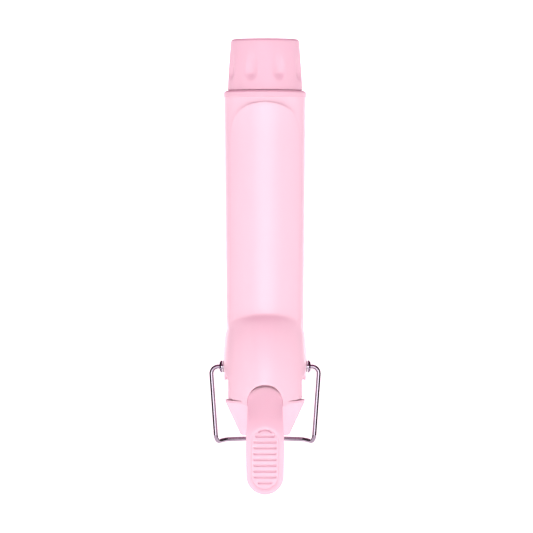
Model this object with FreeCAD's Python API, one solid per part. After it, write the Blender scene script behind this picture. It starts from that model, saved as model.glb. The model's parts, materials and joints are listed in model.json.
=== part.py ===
import FreeCAD, Part
import math
import os

os.makedirs("parts", exist_ok=True)

# A curling-tong barrel head, in millimetres. +Z runs up the barrel, the thumb lever is on the -Y side,
# and the origin is the centre of the handle socket's mouth, on the cone's lower face.

# Barrel and cool tip
BARREL_BOTTOM = 49.2
BARREL_TOP = 156.4
BARREL_R_BOTTOM = 17.85
BARREL_R_TOP = 19.0
BARREL_WALL = 0.9
COLLAR_TOP = 159.5
COLLAR_R = 19.08
TIP_BOTTOM = 159.7
TIP_TOP = 183.3
TIP_R_BOTTOM = 17.4
TIP_R_TOP = 15.75
TIP_EDGE = 1.4
DIMPLE_COUNT = 8
DIMPLE_Z = 170.8
DIMPLE_HALF_LENGTH = 7.4
DIMPLE_HALF_WIDTH = 3.4
DIMPLE_DEPTH = 1.1
TIP_BORE_R = (14.6, 13.2)
TIP_ROOF = 3.0
TIP_BOSS_R = 4.0
TIP_SCREW_HOLE_R = 1.5
COLLAR_SKIRT = 6.0
COLLAR_BORE_R = 13.6
COLLAR_LIP_R = 14.3
COLLAR_LIP = 2.5
BRACKET_REACH = 13.1
BRACKET_HALF_WIDTH = 3.0
BRACKET_SHEET = 1.0
BRACKET_LEG = 7.0

# Heater, inside the barrel
SPREADER_Z = (66.0, 150.0)
SPREADER_RIM = 2.4
SPREADER_WEB_HALF_WIDTH = 7.5
SPREADER_WEB_Y = (-6.0, -1.6)
SPREADER_RIB_X = 6.0
SPREADER_RIB_HALF_WIDTH = 0.9
HEATER_HALF_WIDTH = 6.0
HEATER_HALF_THICKNESS = 1.0
HEATER_Z = (70.0, 146.0)
MICA_HALF_WIDTH = 7.2
MICA_THICKNESS = 0.6
MICA_OVERHANG = 2.0
THERMISTOR_Y = -7.0
THERMISTOR_Z = 64.0
THERMISTOR_R = 1.1
FUSE_PLACE = (-2.6, 9.0)
FUSE_Z = (60.6, 65.6)
FUSE_R = 1.9
FUSE_LEG = 2.4
LEAD_R = 0.75
SENSOR_LEAD_R = 0.6

# Neck, cone and handle socket
CONE_R = 11.3
FLANGE_R = 18.4
FLANGE_TOP = 16.4
CONE_EDGE = 1.2
SPIGOT_R = 15.4
NECK_BOTTOM = 17.1
NECK_TOP = 49.0
NECK_R = 17.2
NECK_WALL = 2.2
SOCKET_R = 8.5
SOCKET_LENGTH = 8.0
LOCK_GROOVE_TOP = 10.4
LOCK_GROOVE_R = 9.8
KEYWAY_WIDTH = 3.4
CONTACT_COUNT = 4
CONTACT_RING_R = 4.6
CONTACT_R = 1.0
BASE_SCREW_RING_R = 12.9
BASE_SCREW_ANGLES = (35.0, 145.0, 270.0)
BASE_SCREW_BOSS = 8.0
BASE_SCREW_FRONT_BOSS = 3.4
BASE_SCREW_SEAT = 13.0
NECK_FLOOR = 2.4
MOUNT_SCREW_Y = 12.0
MOUNT_BOSS_DEPTH = 10.0
MOUNT_RING_HEIGHT = 8.0
MOUNT_RING_BORE_R = 14.6
MOUNT_RING_FLOOR_R = 9.5
MOUNT_RING_FLOOR = 2.2
SCREW_BOSS_R = 2.6
CONNECTOR_BOTTOM = LOCK_GROOVE_TOP + 1.2
CONNECTOR_LIP = 0.9
CONNECTOR_CAP = 1.4

# Pivot, shared by the clip and the stand
PIVOT_Z = 31.7
BUSH_R = 2.6
BUSH_BORE_R = 1.06
BUSH_INNER_X = 12.6
BUSH_OUTER_X = 19.6
BUSH_GROOVE_WIDTH = 0.8
BUSH_GROOVE_DEPTH = 0.5
EAR_FIT = 0.05
BOSS_R = 5.0
THRUST_FACE_X = 17.5

# Clip: sheet blade, hood and lever
BLADE_GAP = 0.35
BLADE_SHEET = 0.9
BLADE_APEX = 154.3
BLADE_END_HEIGHT = 13.9
BLADE_HALF_ANGLE = 57.0
BLADE_SEAM = 51.0
HOOD_WALL = 1.1
HOOD_TOP = 56.5
HOOD_CROWN = 20.0
HOOD_FOOT = 13.0
HOOD_DEPTH_TOP = 18.6
HOOD_DEPTH_FULL = 27.3
HOOD_WIDTH_TOP = 16.65
HOOD_WIDTH_GAIN = 3.05
HOOD_WAIST = 0.5
HOOD_STEPS = 9
HOOD_INNER_DROP = 0.6
EAR_R = 7.5
EAR_PAD_R = 6.2
EAR_PAD_X = 17.6
APRON_HALF_WIDTH = 15.8
APRON_BOTTOM = 17.1
TONGUE_HALF_WIDTH = 10.5
TONGUE_BOTTOM = 14.7
ARCH_HALF_WIDTH = 8.35
ARCH_TOP = 24.8
LEVER_HALF_WIDTH = 7.95
LEVER_WIDEST = 8.75
LEVER_WIDEST_Z = -2.5
LEVER_END = -25.2
LEVER_THICKNESS = 2.6
LEVER_END_R = 8.5
LEVER_ROOT_TOP = 38.0
LEVER_ROOT_FOOT = 15.5
LEVER_ROOT_THICKNESS = 4.2
LEVER_SIDE = (
    # height and outer face depth, from the root under the hood to the rounded end
    (LEVER_ROOT_TOP, -23.8),
    (24.0, -25.0),
    (17.5, -26.4),
    (6.0, -31.0),
    (0.0, -32.0),
    (-14.0, -32.0),
    (LEVER_END - 1, -31.4),
)
PAD_HALF_WIDTH = 6.3
PAD_TOP = 5.0
PAD_BOTTOM = -22.9
RIDGE_COUNT = 9
RIDGE_TOP = 1.4
RIDGE_PITCH = 2.66
RIDGE_HALF_LENGTH = 4.9
RIDGE_GROOVE_R = 0.35
STUD_Z = (29.0, 35.0)
STUD_R = 1.2
STUD_TAIL = 1.85
WASHER_R = 2.5
WASHER_THICKNESS = 0.45
LEAF_GAP = 0.4
LEAF_TOP = 37.4
LEAF_BEND = 26.0
LEAF_FOOT = 19.0
LEAF_THICKNESS = 0.5
LEAF_HALF_WIDTH = 3.2
LEAF_FOOT_Y = -17.85

# Wire stand
WIRE_R = 1.0
STAND_TOP_X = 25.1
STAND_CORNER_X = 22.6
STAND_CORNER_Z = -3.2
STAND_BOW_X = 9.0
STAND_BOW_Y = 14.5
STAND_SHOULDER = (18.0, 9.0)
STAND_BENDS = (3.2, 3.0, 5.0, 9.0)
WIRE_END_X = 13.4
DISC_R = 2.9
DISC_X = (19.75, 21.1)
DISC_RIM = 0.6

X_AXIS = FreeCAD.Vector(1, 0, 0)
Y_AXIS = FreeCAD.Vector(0, 1, 0)
Z_AXIS = FreeCAD.Vector(0, 0, 1)
ORIGIN = FreeCAD.Vector(0, 0, 0)


def vec(x, y, z):
    return FreeCAD.Vector(x, y, z)


def save(shape, name):
    """Writes one piece, after checking that every solid in it is valid."""
    if not shape.isValid() or shape.Volume <= 0:
        raise ValueError(name + " is not a valid solid")
    shape.exportStep("parts/" + name + ".step")
    box = shape.BoundBox
    low = (round(box.XMin, 2), round(box.YMin, 2), round(box.ZMin, 2))
    high = (round(box.XMax, 2), round(box.YMax, 2), round(box.ZMax, 2))
    print(name, len(shape.Solids), "solids", round(shape.Volume, 1), "mm3", low, high)


def turned(points):
    """A solid of revolution about Z from a closed outline of (radius, height) points."""
    corners = [vec(r, 0, z) for r, z in points]
    outline = Part.makePolygon(corners + corners[:1])
    return Part.Face(outline).revolve(ORIGIN, Z_AXIS, 360)


def rod_x(radius, x_from, x_to, y, z):
    return Part.makeCylinder(radius, x_to - x_from, vec(x_from, y, z), X_AXIS)


def rod_y(radius, y_from, y_to, x, z):
    return Part.makeCylinder(radius, y_to - y_from, vec(x, y_from, z), Y_AXIS)


def rod_z(radius, z_from, z_to, x, y):
    return Part.makeCylinder(radius, z_to - z_from, vec(x, y, z_from), Z_AXIS)


def block(x_from, x_to, y_from, y_to, z_from, z_to):
    corner = vec(x_from, y_from, z_from)
    return Part.makeBox(x_to - x_from, y_to - y_from, z_to - z_from, corner)


def mirrored(shape):
    return shape.mirror(ORIGIN, X_AXIS)


def barrel_radius(z):
    """Outer radius of the barrel's straight taper at a height."""
    share = (z - BARREL_BOTTOM) / (BARREL_TOP - BARREL_BOTTOM)
    return BARREL_R_BOTTOM + share * (BARREL_R_TOP - BARREL_R_BOTTOM)


def taper(offset, z_from, z_to):
    """A solid cone that follows the barrel's outside at an offset."""
    low = barrel_radius(z_from) + offset
    high = barrel_radius(z_to) + offset
    return Part.makeCone(low, high, z_to - z_from, vec(0, 0, z_from), Z_AXIS)


def bent_tube(points, bend_radii, radius):
    """A round wire along straight runs joined by tangent arcs."""
    edges = []
    start = points[0]
    for before, corner, after, bend in zip(points, points[1:], points[2:], bend_radii):
        way_in = (corner - before).normalize()
        way_out = (after - corner).normalize()
        turn = way_in.getAngle(way_out)
        setback = bend * math.tan(turn / 2)
        arc_from = corner - way_in * setback
        arc_to = corner + way_out * setback
        inward = (way_out - way_in).normalize()
        arc_mid = corner + inward * (bend / math.cos(turn / 2) - bend)
        edges.append(Part.LineSegment(start, arc_from).toShape())
        edges.append(Part.Arc(arc_from, arc_mid, arc_to).toShape())
        start = arc_to
    edges.append(Part.LineSegment(start, points[-1]).toShape())
    heading = (points[1] - points[0]).normalize()
    ring = Part.Wire([Part.makeCircle(radius, points[0], heading)])
    return Part.Wire(edges).makePipeShell([ring], True, False)


def screw(head_r, head_height, shank_r, shank_length):
    """A pan-head screw that points up, with its head's underside at the origin."""
    head = Part.makeCylinder(head_r, head_height, vec(0, 0, -head_height), Z_AXIS)
    shank = Part.makeCylinder(shank_r, shank_length, ORIGIN, Z_AXIS)
    slot = block(-head_r, head_r, -0.35, 0.35, -head_height, -head_height + 0.7)
    cross = block(-0.35, 0.35, -head_r, head_r, -head_height, -head_height + 0.7)
    recess = Part.makeCylinder(head_r * 0.65, 0.8, vec(0, 0, -head_height), Z_AXIS)
    return head.fuse(shank).cut(slot.fuse(cross).common(recess)).removeSplitter()


# Base body


def cool_tip():
    outer = [(0, TIP_BOTTOM), (TIP_R_BOTTOM, TIP_BOTTOM), (TIP_R_TOP, TIP_TOP), (0, TIP_TOP)]
    body = turned(outer)
    top_edges = [e for e in body.Edges if e.BoundBox.ZMin > TIP_TOP - 0.01 and len(e.Vertexes) == 1]
    body = body.makeFillet(TIP_EDGE, top_edges[:1])
    roof = TIP_TOP - TIP_ROOF
    hollow = turned([(0, TIP_BOTTOM), (TIP_BORE_R[0], TIP_BOTTOM), (TIP_BORE_R[1], roof), (0, roof)])
    boss = rod_z(TIP_BOSS_R, TIP_BOTTOM + 1.5, roof + 1, 0, 0)
    body = body.cut(hollow).fuse(boss).cut(rod_z(TIP_SCREW_HOLE_R, TIP_BOTTOM, roof - 3, 0, 0))
    scoop = Part.makeSphere(1.0)
    size = FreeCAD.Matrix()
    size.scale(DIMPLE_DEPTH * 2.2, DIMPLE_HALF_WIDTH, DIMPLE_HALF_LENGTH)
    scoop = scoop.transformGeometry(size)
    side_r = (TIP_R_BOTTOM + TIP_R_TOP) / 2 + DIMPLE_DEPTH * 1.2
    scoop.translate(vec(side_r, 0, DIMPLE_Z))
    for index in range(DIMPLE_COUNT):
        dimple = scoop.copy()
        dimple.rotate(ORIGIN, Z_AXIS, (index + 0.5) * 360.0 / DIMPLE_COUNT)
        body = body.cut(dimple)
    return body.removeSplitter()


def tip_collar():
    skirt_r = BARREL_R_TOP - BARREL_WALL - 0.1
    return turned([
        (COLLAR_BORE_R, BARREL_TOP - COLLAR_SKIRT),
        (skirt_r, BARREL_TOP - COLLAR_SKIRT),
        (skirt_r, BARREL_TOP),
        (COLLAR_R, BARREL_TOP),
        (COLLAR_R - 0.12, COLLAR_TOP - 0.9),
        (TIP_R_BOTTOM + 0.5, COLLAR_TOP),
        (COLLAR_LIP_R, COLLAR_TOP),
        (COLLAR_LIP_R, TIP_BOTTOM + COLLAR_LIP),
        (COLLAR_BORE_R, TIP_BOTTOM + COLLAR_LIP),
    ])


def tip_bracket():
    top = TIP_BOTTOM + 1.5
    reach, half = BRACKET_REACH, BRACKET_HALF_WIDTH
    arms = block(-reach, reach, -half, half, top - BRACKET_SHEET, top)
    arms = arms.fuse(block(-half, half, -reach, reach, top - BRACKET_SHEET, top))
    leg = block(reach - BRACKET_SHEET, reach, -half, half, top - BRACKET_LEG, top)
    arms = arms.fuse(leg).fuse(mirrored(leg))
    return arms.cut(rod_z(TIP_SCREW_HOLE_R + 0.1, top - 2, top + 1, 0, 0)).removeSplitter()


def tip_screw():
    part = screw(3.0, 2.0, TIP_SCREW_HOLE_R - 0.05, 12.0)
    part.translate(vec(0, 0, TIP_BOTTOM + 0.5))
    return part


def barrel():
    outside = taper(0, BARREL_BOTTOM, BARREL_TOP)
    inside = taper(-BARREL_WALL, BARREL_BOTTOM - 1, BARREL_TOP + 1)
    return outside.cut(inside)


def mount_ring():
    r = BARREL_R_BOTTOM - BARREL_WALL - 0.02
    top = NECK_TOP + MOUNT_RING_HEIGHT
    step = NECK_TOP + MOUNT_RING_FLOOR
    ring = turned([(MOUNT_RING_FLOOR_R, NECK_TOP), (r, NECK_TOP), (r, top), (MOUNT_RING_BORE_R, top),
                   (MOUNT_RING_BORE_R, step), (MOUNT_RING_FLOOR_R, step)])
    for y in (-MOUNT_SCREW_Y, MOUNT_SCREW_Y):
        ring = ring.cut(rod_z(1.3, NECK_TOP - 1, NECK_TOP + 3, 0, y))
    return ring


def mount_screws():
    group = []
    for y in (-MOUNT_SCREW_Y, MOUNT_SCREW_Y):
        part = screw(2.4, 1.6, 1.25, 9.0)
        part.rotate(ORIGIN, X_AXIS, 180)
        part.translate(vec(0, y, NECK_TOP + MOUNT_RING_FLOOR))
        group.append(part)
    return Part.makeCompound(group)


def spreader_front():
    """Half-round aluminium bar that bears on the barrel's bore, with a flat for the heater."""
    low, high = SPREADER_Z
    y_front, y_flat = SPREADER_WEB_Y
    bar = taper(-BARREL_WALL - 0.05, low, high)
    bar = bar.cut(taper(-BARREL_WALL - SPREADER_RIM, low - 1, high + 1))
    web = block(-SPREADER_WEB_HALF_WIDTH, SPREADER_WEB_HALF_WIDTH, y_front, y_flat, low, high)
    rib = block(SPREADER_RIB_X - SPREADER_RIB_HALF_WIDTH, SPREADER_RIB_X + SPREADER_RIB_HALF_WIDTH,
                -15.5, y_front + 0.5, low, high)
    bar = bar.fuse(web).fuse(rib).fuse(mirrored(rib))
    return bar.common(block(-20, 20, -20, y_flat, low, high)).removeSplitter()


def spreader_rear():
    return spreader_front().mirror(ORIGIN, Y_AXIS)


def heater_plate():
    x, y = HEATER_HALF_WIDTH, HEATER_HALF_THICKNESS
    return block(-x, x, -y, y, *HEATER_Z)


def insulation_front():
    x, y = MICA_HALF_WIDTH, -HEATER_HALF_THICKNESS
    low, high = HEATER_Z
    return block(-x, x, y - MICA_THICKNESS, y, low - MICA_OVERHANG, high + MICA_OVERHANG)


def insulation_rear():
    return insulation_front().mirror(ORIGIN, Y_AXIS)


def thermistor():
    bead = Part.makeSphere(THERMISTOR_R, vec(0, THERMISTOR_Y, THERMISTOR_Z))
    return bead.fuse(rod_z(0.9, THERMISTOR_Z - 4, THERMISTOR_Z, 0, THERMISTOR_Y)).removeSplitter()


def thermal_fuse():
    low, high = FUSE_Z
    can = rod_z(FUSE_R, low, high, *FUSE_PLACE)
    return can.fuse(rod_z(0.5, low - FUSE_LEG, high + 1.4, *FUSE_PLACE)).removeSplitter()


def heater_lead(side):
    """One insulated wire from a contact, past the neck, to the heater's lower edge."""
    pin_top = NECK_BOTTOM + 3.1
    plate_foot = HEATER_Z[0] - 0.4
    route = [vec(side * CONTACT_RING_R, 0, pin_top), vec(side * CONTACT_RING_R, 0, 30.0),
             vec(side * 6.6, 0, 42.0), vec(side * 5.2, 0, 56.0), vec(side * 5.2, 0, plate_foot)]
    return bent_tube(route, (14.0, 14.0, 20.0), LEAD_R)


def sensor_lead():
    pin_top = NECK_BOTTOM + 3.1
    route = [vec(0, -CONTACT_RING_R, pin_top), vec(0, -CONTACT_RING_R, 30.0),
             vec(0, THERMISTOR_Y, 44.0), vec(0, THERMISTOR_Y, THERMISTOR_Z - 4.1)]
    return bent_tube(route, (14.0, 14.0), SENSOR_LEAD_R)


def base_screw_places():
    for angle in BASE_SCREW_ANGLES:
        turn = math.radians(angle)
        yield angle, BASE_SCREW_RING_R * math.cos(turn), BASE_SCREW_RING_R * math.sin(turn)


def neck_housing():
    bore_r = NECK_R - NECK_WALL
    shell = turned([(bore_r, NECK_BOTTOM), (NECK_R, NECK_BOTTOM), (NECK_R, NECK_TOP), (bore_r, NECK_TOP)])
    floor = rod_z(NECK_R - 1, NECK_BOTTOM, NECK_BOTTOM + NECK_FLOOR, 0, 0)
    floor = floor.cut(rod_z(SOCKET_R + 0.1, NECK_BOTTOM - 1, NECK_BOTTOM + 4, 0, 0))
    shell = shell.fuse(floor)
    boss = rod_x(BOSS_R, BUSH_INNER_X + 0.9, NECK_R - 0.4, 0, PIVOT_Z)
    boss = boss.fuse(rod_x(EAR_PAD_R, NECK_R - 2.0, THRUST_FACE_X, 0, PIVOT_Z))
    shell = shell.fuse(boss).fuse(mirrored(boss))
    boss_foot = NECK_TOP - MOUNT_BOSS_DEPTH
    for side in (-1, 1):
        y = side * MOUNT_SCREW_Y
        rib = block(-SCREW_BOSS_R, SCREW_BOSS_R, min(y, y * 1.3), max(y, y * 1.3), boss_foot, NECK_TOP)
        shell = shell.fuse(rib).fuse(rod_z(SCREW_BOSS_R, boss_foot, NECK_TOP, 0, y))
        shell = shell.cut(rod_z(1.27, NECK_TOP - 8, NECK_TOP + 1, 0, y))
    for angle, x, y in base_screw_places():
        height = BASE_SCREW_FRONT_BOSS if angle == 270.0 else BASE_SCREW_BOSS
        shell = shell.fuse(rod_z(SCREW_BOSS_R, NECK_BOTTOM, NECK_BOTTOM + height, x, y))
        shell = shell.cut(rod_z(1.25, NECK_BOTTOM - 1, NECK_BOTTOM + height - 0.6, x, y))
    shell = shell.cut(rod_x(BUSH_R, -20, 20, 0, PIVOT_Z))
    return shell.removeSplitter()


def cone_base():
    body = turned([(0, 0), (CONE_R, 0), (FLANGE_R, FLANGE_TOP - 1.0), (FLANGE_R, FLANGE_TOP),
                   (SPIGOT_R, FLANGE_TOP), (SPIGOT_R, NECK_BOTTOM), (0, NECK_BOTTOM)])
    rim = [e for e in body.Edges if e.BoundBox.ZMax < 0.01 and len(e.Vertexes) == 1]
    body = body.makeFillet(CONE_EDGE, rim[:1])
    body = body.cut(rod_z(SOCKET_R, -1, CONNECTOR_BOTTOM, 0, 0))
    body = body.cut(rod_z(LOCK_GROOVE_R, SOCKET_LENGTH, LOCK_GROOVE_TOP, 0, 0))
    keyway = block(-KEYWAY_WIDTH / 2, KEYWAY_WIDTH / 2, -LOCK_GROOVE_R, LOCK_GROOVE_R, -1, SOCKET_LENGTH)
    body = body.cut(keyway.common(rod_z(LOCK_GROOVE_R, -1, SOCKET_LENGTH, 0, 0)))
    body = body.cut(rod_z(SOCKET_R - CONNECTOR_LIP, LOCK_GROOVE_TOP, NECK_BOTTOM + 1, 0, 0))
    for angle, x, y in base_screw_places():
        body = body.cut(rod_z(2.5, -1, BASE_SCREW_SEAT, x, y))
        body = body.cut(rod_z(1.4, BASE_SCREW_SEAT - 1, NECK_BOTTOM + 1, x, y))
    return body.removeSplitter()


def base_screws():
    group = []
    for angle, x, y in base_screw_places():
        part = screw(2.3, 1.6, 1.22, 6.6)
        part.translate(vec(x, y, BASE_SCREW_SEAT))
        group.append(part)
    return Part.makeCompound(group)


def contact_places():
    for index in range(CONTACT_COUNT):
        angle = 2 * math.pi * index / CONTACT_COUNT
        yield CONTACT_RING_R * math.cos(angle), CONTACT_RING_R * math.sin(angle)


def connector_block():
    r = SOCKET_R - CONNECTOR_LIP
    top = NECK_BOTTOM + CONNECTOR_CAP
    disc = turned([(0, CONNECTOR_BOTTOM), (r, CONNECTOR_BOTTOM), (r, NECK_BOTTOM), (SOCKET_R, NECK_BOTTOM),
                   (SOCKET_R, top), (0, top)])
    for x, y in contact_places():
        disc = disc.cut(rod_z(CONTACT_R, 0, 30, x, y))
    return disc


def contact_pins():
    group = []
    for x, y in contact_places():
        group.append(rod_z(CONTACT_R, SOCKET_LENGTH + 1.2, NECK_BOTTOM + 3.0, x, y))
    return Part.makeCompound(group)


def pivot_bush():
    """Hollow pin pressed into the neck's boss on the right, with a groove for its ring."""
    body = rod_x(BUSH_R, BUSH_INNER_X - 1.4, BUSH_OUTER_X, 0, PIVOT_Z)
    groove = rod_x(BUSH_R, BUSH_INNER_X, BUSH_INNER_X + BUSH_GROOVE_WIDTH, 0, PIVOT_Z)
    groove = groove.cut(rod_x(BUSH_R - BUSH_GROOVE_DEPTH, BUSH_INNER_X - 1, BUSH_INNER_X + 2, 0, PIVOT_Z))
    return body.cut(groove).cut(rod_x(BUSH_BORE_R, 0, 25, 0, PIVOT_Z))


def bush_rings():
    outer = rod_x(BUSH_R + 1.3, BUSH_INNER_X, BUSH_INNER_X + BUSH_GROOVE_WIDTH, 0, PIVOT_Z)
    ring = outer.cut(rod_x(BUSH_R - BUSH_GROOVE_DEPTH, 0, 25, 0, PIVOT_Z))
    ring = ring.cut(block(0, 25, -1.0, 1.0, PIVOT_Z + 0.5, PIVOT_Z + 8))
    return Part.makeCompound([ring, mirrored(ring)])


# Clip body


def hood_section(z, half_width, depth):
    """One ellipse across the hood, at a height."""
    front = vec(0, -depth, z)
    side = vec(half_width, 0, z)
    return Part.Wire([Part.Ellipse(front, side, vec(0, 0, z)).toShape()])


def hood_solid(inset, drop):
    """The hood's dome: its front depth follows a quarter ellipse, and its sides draw in below the pivot."""
    wires = []
    for index in range(HOOD_STEPS):
        share = index / (HOOD_STEPS - 1)
        rise = math.sin(share * math.pi / 2)
        z = HOOD_TOP - (HOOD_TOP - HOOD_CROWN) * (1 - math.cos(share * math.pi / 2)) - drop
        half_width = HOOD_WIDTH_TOP + HOOD_WIDTH_GAIN * rise - HOOD_WAIST * share ** 8
        depth = HOOD_DEPTH_TOP + (HOOD_DEPTH_FULL - HOOD_DEPTH_TOP) * rise
        wires.append(hood_section(z, half_width - inset, depth - inset))
    foot = hood_section(HOOD_FOOT - drop, half_width - inset, depth - inset)
    dome = Part.makeLoft(wires, True, False)
    skirt = Part.makeLoft([wires[-1], foot], True, True)
    return dome.fuse(skirt)


def blade_outline():
    """Front outline of the blade: straight edges and a half-elliptic end, pushed along Y."""
    base_z = BLADE_APEX - BLADE_END_HEIGHT
    outer_r = barrel_radius(base_z) + BLADE_GAP + BLADE_SHEET
    steps = 10
    right = []
    for index in range(steps + 1):
        turn = math.radians(90.0 * index / steps)
        angle = math.radians(BLADE_HALF_ANGLE) * math.cos(turn)
        right.append(vec(outer_r * math.sin(angle), -60, base_z + BLADE_END_HEIGHT * math.sin(turn)))
    left = [vec(-p.x, p.y, p.z) for p in reversed(right[:-1])]
    arch = Part.BSplineCurve()
    arch.interpolate(right + left)
    edge_x = right[0].x
    low_x = edge_x * barrel_radius(BLADE_SEAM) / barrel_radius(base_z)
    corners = [vec(-edge_x, -60, base_z), vec(-low_x, -60, BLADE_SEAM),
               vec(low_x, -60, BLADE_SEAM), vec(edge_x, -60, base_z)]
    sides = Part.makePolygon(corners).Edges
    face = Part.Face(Part.Wire([arch.toShape()] + sides))
    return face.extrude(vec(0, 60, 0))


def side_keep():
    """Side view of what the hood keeps: roof over the scoop, round ears, and the front apron."""
    corner = vec(-30, EAR_R, PIVOT_Z)
    rear = Part.BSplineCurve()
    rear.interpolate([vec(-30, -12.0, 58), vec(-30, -9.5, 54.0), vec(-30, -1.5, 47.0),
                      vec(-30, EAR_R * 0.8, 39.5), corner])
    lines = Part.makePolygon([corner, vec(-30, 0, PIVOT_Z - 2), vec(-30, -8.5, 29.0), vec(-30, -9.6, 10),
                              vec(-30, -35, 10), vec(-30, -35, 58), vec(-30, -12.0, 58)])
    keep = Part.Face(Part.Wire([rear.toShape()] + lines.Edges)).extrude(vec(60, 0, 0))
    return keep.fuse(rod_x(EAR_R, -30, 30, 0, PIVOT_Z))


def front_cuts():
    """What is cut away in front view: beside the apron, below the tongue, and the lever's arch."""
    cuts = block(APRON_HALF_WIDTH, 30, -40, -8.0, 5, 27.0)
    cuts = cuts.fuse(mirrored(cuts))
    low = block(TONGUE_HALF_WIDTH, 30, -40, 0, 5, APRON_BOTTOM)
    cuts = cuts.fuse(low).fuse(mirrored(low))
    cuts = cuts.fuse(block(-30, 30, -40, 0, 5, TONGUE_BOTTOM))
    spring_line = ARCH_TOP - ARCH_HALF_WIDTH
    arch = rod_y(ARCH_HALF_WIDTH, -40, -20, 0, spring_line)
    arch = arch.fuse(block(-ARCH_HALF_WIDTH, ARCH_HALF_WIDTH, -40, -20, 5, spring_line))
    return cuts.fuse(arch)


def clip_blade():
    sheet = taper(BLADE_GAP + BLADE_SHEET, BLADE_SEAM, BLADE_APEX + 2)
    sheet = sheet.common(blade_outline())
    outside = hood_solid(0, 0)
    hood = outside.cut(hood_solid(HOOD_WALL, HOOD_INNER_DROP))
    pad = rod_x(EAR_PAD_R, EAR_PAD_X, 25, 0, PIVOT_Z)
    hood = hood.fuse(outside.common(pad.fuse(mirrored(pad))))
    hood = hood.common(side_keep()).cut(front_cuts())
    body = sheet.fuse(hood)
    body = body.cut(taper(BLADE_GAP, BARREL_BOTTOM - 1, BLADE_APEX + 4))
    body = body.cut(rod_z(NECK_R + 0.35, 5, BARREL_BOTTOM - 0.9, 0, 0))
    body = body.cut(rod_x(BUSH_R + EAR_FIT, -30, 30, 0, PIVOT_Z))
    return max(body.Solids, key=lambda solid: solid.Volume)


def lever_outer(z):
    """Depth of the lever's outer face at a height."""
    for (high, y_high), (low, y_low) in zip(LEVER_SIDE, LEVER_SIDE[1:]):
        if low <= z <= high:
            return y_low + (y_high - y_low) * (z - low) / (high - low)
    return LEVER_SIDE[-1][1]


def lever_slab(outer_inset, inner_inset):
    """Side outline of the lever, between its outer and inner faces, pushed along X."""
    outer = [vec(-20, y + outer_inset, z) for z, y in LEVER_SIDE]
    inner = [vec(-20, y + LEVER_THICKNESS + inner_inset, z) for z, y in LEVER_SIDE]
    front = Part.BSplineCurve()
    front.interpolate(outer)
    back = Part.BSplineCurve()
    back.interpolate(inner)
    edges = [front.toShape(), Part.makeLine(outer[-1], inner[-1]), back.toShape(),
             Part.makeLine(inner[0], outer[0])]
    return Part.Face(Part.Wire(Part.__sortEdges__(edges))).extrude(vec(40, 0, 0))


def lever_front():
    """Front outline of the lever: nearly straight sides and a round end, pushed along Y."""
    r = LEVER_END_R
    low = LEVER_END + r
    top_corner = vec(LEVER_HALF_WIDTH, -45, LEVER_ROOT_TOP)
    shoulder = vec(LEVER_HALF_WIDTH, -45, 20.0)
    curve = Part.BSplineCurve()
    curve.interpolate([shoulder, vec(LEVER_HALF_WIDTH + 0.25, -45, 8), vec(LEVER_WIDEST, -45, LEVER_WIDEST_Z),
                       vec(r, -45, low)])
    side = [Part.makeLine(top_corner, shoulder), curve.toShape()]
    mirror_side = [e.mirror(ORIGIN, X_AXIS) for e in side]
    end = Part.Arc(vec(r, -45, low), vec(0, -45, LEVER_END), vec(-r, -45, low)).toShape()
    top = Part.makeLine(vec(-LEVER_HALF_WIDTH, -45, LEVER_ROOT_TOP), top_corner)
    wire = Part.Wire(Part.__sortEdges__(side + mirror_side + [end, top]))
    return Part.Face(wire).extrude(vec(0, 45, 0))


def capsule(half_width, grow, y_from, y_to):
    """The pad's stadium outline, pushed along Y."""
    r = half_width + grow
    low = PAD_BOTTOM + half_width
    high = PAD_TOP - half_width
    shape = rod_y(r, y_from, y_to, 0, low).fuse(rod_y(r, y_from, y_to, 0, high))
    return shape.fuse(block(-r, r, y_from, y_to, low, high)).removeSplitter()


def thumb_lever():
    above = block(-20, 20, -45, 0, LEVER_ROOT_FOOT, 40)
    under_hood = hood_solid(HOOD_WALL + 0.25, HOOD_INNER_DROP)
    root = lever_slab(0, LEVER_ROOT_THICKNESS - LEVER_THICKNESS).common(above).common(under_hood)
    tail = lever_slab(0, 0).cut(block(-20, 20, -45, 0, LEVER_ROOT_FOOT + 0.5, 40))
    body = root.fuse(tail).common(lever_front())
    recess = capsule(PAD_HALF_WIDTH, 0, -40, -20).common(lever_slab(-3, -1.4))
    body = body.cut(recess)
    for z in STUD_Z:
        body = body.cut(rod_y(STUD_R + 0.05, -40, 0, 0, z))
    return body.removeSplitter()


def thumb_pad():
    pad = capsule(PAD_HALF_WIDTH, -0.06, -40, -20).common(lever_slab(0.25, -1.4))
    for index in range(RIDGE_COUNT):
        z = RIDGE_TOP - index * RIDGE_PITCH
        groove = rod_x(RIDGE_GROOVE_R, -RIDGE_HALF_LENGTH, RIDGE_HALF_LENGTH, lever_outer(z) + 0.2, z)
        pad = pad.cut(groove)
    return pad.removeSplitter()


def clip_spring():
    """Leaf spring: flat under the studs, then bent in so that its foot bears on the neck."""
    gap = LEVER_ROOT_THICKNESS + LEAF_GAP
    path = [(LEAF_TOP, lever_outer(LEAF_TOP) + gap), (LEAF_BEND, lever_outer(LEAF_BEND) + gap),
            (LEAF_FOOT, LEAF_FOOT_Y), (LEAF_FOOT - 1.4, LEAF_FOOT_Y - 0.9)]
    outline = [vec(-LEAF_HALF_WIDTH, y, z) for z, y in path]
    outline += [vec(-LEAF_HALF_WIDTH, y + LEAF_THICKNESS, z) for z, y in reversed(path)]
    leaf = Part.Face(Part.makePolygon(outline + outline[:1])).extrude(vec(2 * LEAF_HALF_WIDTH, 0, 0))
    for z in STUD_Z:
        leaf = leaf.cut(rod_y(STUD_R + 0.05, -40, 0, 0, z))
    return leaf


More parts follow.
